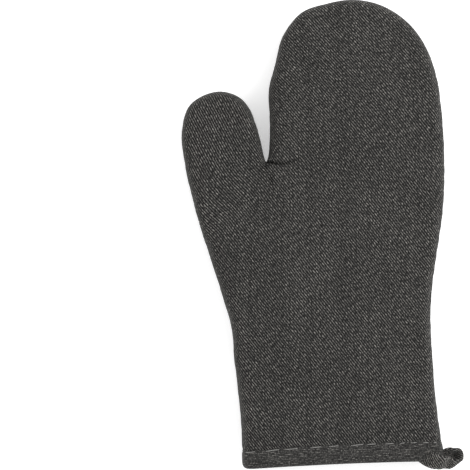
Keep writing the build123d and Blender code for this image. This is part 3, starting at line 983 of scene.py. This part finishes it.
def binding():
    n = len(kind)
    r = np.random.default_rng(5)
    rowsV, U = [], []
    for i in range(n):
        x = base[i, 0]
        w = float(band(np.array([x]))[0]) + 0.18 * math.sin(around[i] / 6.3) + 0.12 * math.sin(around[i] / 2.9 + 1)
        if kind[i] == 3:
            w -= 0.4
        wave = math.sin(around[i] * 2 * math.pi / 5.5 + 1.3 * math.sin(around[i] / 9))
        outer, inner = tape_profile(w, wave)
        prof = np.vstack([outer, inner])
        k = np.full(len(prof), kind[i])
        v = np.full(len(prof), val[i])
        rowsV.append(cuff_xyz(k, v, prof[:, 0], prof[:, 1]))
        run = np.concatenate([[0], np.cumsum(np.linalg.norm(np.diff(prof, axis=0), axis=1))])
        U.append(np.column_stack([np.full(len(prof), around[i]), run]))
    m = rowsV[0].shape[0]
    V = np.vstack(rowsV)
    F = []
    for i in range(n):
        j = (i + 1) % n
        for k in range(m):
            k2 = (k + 1) % m
            F.append((i * m + k, i * m + k2, j * m + k2, j * m + k))
    # cloth coordinates by corner, so that the tape's ends meet in one line
    me = bpy.data.meshes.new("cuff_binding_tape")
    me.from_pydata([tuple(v) for v in rows(V).tolist()], [], F)
    me.update()
    me.shade_smooth()
    bm = bmesh.new()
    bm.from_mesh(me)
    bmesh.ops.recalc_face_normals(bm, faces=bm.faces)
    lay = bm.loops.layers.uv.new("cloth")
    Ua = np.vstack(U)
    total = around[-1] + 1.6
    for f in bm.faces:
        ids = [l.vert.index for l in f.loops]
        last = max(ids) >= (n - 1) * m and min(ids) < m
        wraps = (max(i % m for i in ids) == m - 1) and (min(i % m for i in ids) == 0)
        for l in f.loops:
            a, b = Ua[l.vert.index]
            if last and l.vert.index < m:
                a = total
            if wraps and l.vert.index % m == 0:
                b = Ua[:, 1].max() + 0.7
            l[lay].uv = (a / 1000, b / 1000)
    bm.to_mesh(me)
    bm.free()
    me.materials.append(TAPE)
    ob = bpy.data.objects.new("cuff_binding_tape", me)
    bpy.context.scene.collection.objects.link(ob)
    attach(ob, "palm")
    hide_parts("cuff_binding")
    return ob


BINDING = binding()


def face_run(front):
    use = (base[:, 2] > Z_EQ) if front else (base[:, 2] < Z_EQ)
    idx = np.where(use)[0]
    idx = idx[np.argsort(base[idx, 0])]
    return idx


def topstitches():
    hp = Heap()
    r = np.random.default_rng(23)
    seen = [(-48.3, 7.3), (-33.1, 10.0), (-19.5, 9.0), (-2.1, 8.4), (11.0, 7.3), (26.2, 9.4), (37.8, 6.3),
            (50.4, 6.3), (60.9, 3.4), (68.6, 4.2), (77.0, 3.7), (84.6, 2.4)]      # start and length of each, in mm
    for front in (True, False):
        idx = face_run(front)
        xs = base[idx, 0]
        runs = seen if front else [(a + 4.1 * math.sin(3 * a) - 1.0, l * 0.9) for a, l in seen]
        for x, length in runs:
            x = max(x, -47.6)
            pts = []
            q = np.linspace(x, min(x + length, 89.6), 15)
            slant = r.uniform(0.25, 0.6)
            for a in q:
                k = idx[np.argmin(np.abs(xs - a))]
                k2 = k + 1 if (k + 1 < len(kind) and kind[k + 1] == kind[k]) else k - 1
                xa, xb = base[k, 0], base[k2, 0]
                f = 0.0 if abs(xb - xa) < 1e-6 else np.clip((a - xa) / (xb - xa), -1, 1)
                vv = val[k] + f * (val[k2] - val[k])
                t = (a - q[0]) / (q[-1] - q[0] + 1e-9)
                w = float(band(np.array([a]))[0]) - 0.92 + slant * (t - 0.5) + 0.1 * math.sin(a / 5.0)
                lift = -0.22 + 0.60 * min(1.0, (min(t, 1 - t) * (q[-1] - q[0]) / 1.6)) ** 0.7
                pts.append(cuff_xyz(np.array([kind[k]]), np.array([vv]), 0.45 - lift, w)[0])
            hp.add(*tube(np.array(pts), 0.34, 8, 0.5))
    ob = hp.build("binding_topstitches", TOPTHREAD)
    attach(ob, "palm")
    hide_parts("binding_topstitch")


topstitches()


# ---------------------------------------------------------------- hanging loop
LOOP_W = np.array([0.54, 0.52, 0.66])
LOOP_W /= np.linalg.norm(LOOP_W)
LOOP_C = np.array([98.0, 4.6, 20.0])


def smooth_path(ctrl, n):
    c = np.array(ctrl, float)
    q = np.vstack([2 * c[0] - c[1], c, 2 * c[-1] - c[-2]])
    out = []
    for k in range(1, len(q) - 2):
        t = np.linspace(0, 1, 16, endpoint=False)[:, None]
        p0, p1, p2, p3 = q[k - 1], q[k], q[k + 1], q[k + 2]
        out.append(0.5 * (2 * p1 + (p2 - p0) * t + (2 * p0 - 5 * p1 + 4 * p2 - p3) * t ** 2 + (3 * p1 - p0 - 3 * p2 + p3) * t ** 3))
    out = np.vstack(out + [c[-1:]])
    run = np.concatenate([[0], np.cumsum(np.linalg.norm(np.diff(out[:, :3], axis=0), axis=1))])
    at = np.linspace(0, run[-1], n)
    return np.stack([np.interp(at, run, out[:, j]) for j in range(c.shape[1])], 1), at


def loop_centreline():
    ctrl = []

    def put(p, w):
        w = np.array(w, float)
        ctrl.append([*p, *(w / np.linalg.norm(w))])
    skin = np.array([v.co[:] for v in BINDING.data.vertices]) * 1000.0 + np.array([OX, OY, 0.0])

    def top(x, y):
        near = skin[(skin[:, 0] - x) ** 2 + (skin[:, 1] - y) ** 2 < 2.2 ** 2]
        return near[:, 2].max() if len(near) else 22.0
    # the tail comes out of the binding beside the corner, flat on it, and turns on edge as it leaves
    put((75.6, 8.0, top(75.6, 8.0) - 3.6), (0.46, 0.88, 0.08))
    put((79.4, 5.2, top(79.4, 5.2) - 0.6), (0.40, 0.86, 0.26))
    put((83.6, 3.3, top(83.6, 4.0) + 1.3), (0.22, 0.90, 0.36))
    put((88.6, 2.2, top(87.0, 4.0) + 1.5), (0.22, 0.80, 0.56))
    put((93.0, 1.5, 24.4), (0.36, 0.70, 0.62))
    for deg in (258, 288, 318, 348, 18, 48, 78, 104):
        a = math.radians(deg)
        bulge = 1 + 0.16 * math.exp(-((deg - 312) / 28.0) ** 2)
        dx, dy = 3.5 * bulge * math.cos(a), 3.8 * bulge * math.sin(a)
        dz = -(LOOP_W[0] * dx + LOOP_W[1] * dy) / LOOP_W[2]
        put(LOOP_C + np.array([dx, dy, dz]), LOOP_W)
    put((94.0, 8.2, 18.6), (0.40, 0.64, 0.66))
    put((91.0, 7.6, 18.6), (0.28, 0.50, 0.82))
    put((88.0, 7.8, 18.6), (0.22, 0.30, 0.92))
    return smooth_path(ctrl, 120)


LOOP_PATH, LOOP_RUN = loop_centreline()


def loop_frames():
    c = LOOP_PATH[:, :3]
    T = np.gradient(c, axis=0)
    T /= np.linalg.norm(T, axis=1)[:, None]
    W = LOOP_PATH[:, 3:]
    W = W - (W * T).sum(1)[:, None] * T
    W /= np.linalg.norm(W, axis=1)[:, None]
    return c, T, W, np.cross(T, W)


def hanging_loop():
    c, T, W, B = loop_frames()
    half_w, half_t = 6.0, 0.95
    prof = []
    n = 15
    for k in range(n):
        a = -1 + 2 * k / (n - 1)
        edge = max(0.0, (abs(a) - 0.80) / 0.20)
        groove = 0.16 * math.exp(-((abs(a) - 0.78) / 0.06) ** 2)
        prof.append((a * half_w, half_t * math.sqrt(max(0.0, 1 - edge ** 2)) * 1.0 - groove + 0.08 * (1 - a * a)))
    top = prof
    bottom = [(a, -t) for a, t in prof[::-1]][1:-1]
    prof = np.array(top + bottom)
    m = len(prof)
    run = np.concatenate([[0], np.cumsum(np.linalg.norm(np.diff(prof, axis=0), axis=1))])
    V, U = [], []
    for k in range(len(c)):
        ripple = 1 + 0.04 * math.sin(LOOP_RUN[k] * 1.9)
        V.append(c[k] + W[k] * prof[:, :1] + B[k] * prof[:, 1:] * ripple)
        U.append(np.column_stack([np.full(m, LOOP_RUN[k]), prof[:, 0] + 10]))
    V, U = np.vstack(V), np.vstack(U)
    F = []
    for k in range(len(c) - 1):
        for q in range(m):
            q2 = (q + 1) % m
            F.append((k * m + q, k * m + q2, (k + 1) * m + q2, (k + 1) * m + q))
    F.append(tuple(range(m))[::-1])
    F.append(tuple((len(c) - 1) * m + q for q in range(m)))
    ob = new_object("hanging_loop_tape", rows(V), F, U / 1000, None, LOOPTAPE)
    bm = bmesh.new()
    bm.from_mesh(ob.data)
    bmesh.ops.recalc_face_normals(bm, faces=bm.faces)
    bm.to_mesh(ob.data)
    bm.free()
    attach(ob, "loop")
    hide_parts("hanging_loop")
    hp = Heap()
    r = np.random.default_rng(31)
    for sign in (1, -1):
        for face in (1, -1):
            s = 8.0
            while s < LOOP_RUN[-1] - 8:
                at = np.linspace(s, s + 1.5, 6)
                pos = np.stack([np.interp(at, LOOP_RUN, c[:, j]) for j in range(3)], 1)
                w = np.stack([np.interp(at, LOOP_RUN, W[:, j]) for j in range(3)], 1)
                b = np.stack([np.interp(at, LOOP_RUN, B[:, j]) for j in range(3)], 1)
                lift = 0.74 + 0.22 * np.sin(np.linspace(0, math.pi, 6))
                hp.add(*tube(pos + sign * 4.68 * w + face * lift[:, None] * b, 0.2, 6, 0.5))
                s += 2.4 + r.uniform(-0.15, 0.15)
    st = hp.build("loop_edge_stitches", TOPTHREAD)
    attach(st, "loop")
    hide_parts("loop_edge_stitch")
    hp = Heap()
    for k in range(7):
        at = 0.2 + 0.28 * k
        pos = np.array([np.interp(at, LOOP_RUN, c[:, j]) for j in range(3)])
        w = np.array([np.interp(at, LOOP_RUN, W[:, j]) for j in range(3)])
        b = np.array([np.interp(at, LOOP_RUN, B[:, j]) for j in range(3)])
        line = np.array([pos + w * x + b * 1.08 for x in np.linspace(-4.5, 4.5, 12)])
        hp.add(*tube(line, 0.24, 6, 0.5))
    tack = hp.build("loop_bar_tack_stitches", TOPTHREAD)
    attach(tack, "loop")
    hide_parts("loop_bar_tack")
    return ob, st, tack


LOOP, LOOP_ST, TACK = hanging_loop()

# ---------------------------------------------------------------- floor, light and camera
def studio():
    sc = bpy.context.scene
    bpy.ops.mesh.primitive_plane_add(size=8, location=(0, 0, -0.0006))
    floor = bpy.context.object
    floor.name = "floor"
    m = bpy.data.materials.new("pale_floor")
    m.use_nodes = True
    b = m.node_tree.nodes["Principled BSDF"]
    b.inputs["Base Color"].default_value = (0.93, 0.93, 0.93, 1)
    b.inputs["Roughness"].default_value = 0.9
    b.inputs["Specular IOR Level"].default_value = 0.1
    b.inputs["Emission Color"].default_value = (1, 1, 1, 1)
    b.inputs["Emission Strength"].default_value = 0.40
    floor.data.materials.append(m)
    w = bpy.data.worlds.new("studio")
    sc.world = w
    w.use_nodes = True
    w.node_tree.nodes["Background"].inputs[0].default_value = (1, 1, 1, 1)
    w.node_tree.nodes["Background"].inputs[1].default_value = 0.95

    def area(name, loc, aim, size, power):
        d = bpy.data.lights.new(name, "AREA")
        d.shape, d.size, d.energy = "SQUARE", size, power
        o = bpy.data.objects.new(name, d)
        sc.collection.objects.link(o)
        o.location = loc
        o.rotation_euler = (Vector(aim) - Vector(loc)).to_track_quat("-Z", "Y").to_euler()
    area("key", (1.5, 0.9, 1.5), (0, 0, 0), 1.3, 40)
    area("fill", (-1.4, -0.6, 1.8), (0, 0, 0), 1.8, 6)
    cam = bpy.data.cameras.new("camera")
    cam.lens, cam.sensor_width = 200, 36
    cam.clip_start, cam.clip_end = 0.05, 20
    o = bpy.data.objects.new("camera", cam)
    sc.collection.objects.link(o)
    dist = 0.329 * 200 / 36
    o.location = (-0.0614, -0.0003, 0.015 + dist)
    o.rotation_euler = (0, 0, 0)
    sc.camera = o
    sc.view_settings.view_transform = "Standard"
    sc.view_settings.look = "None"


studio()
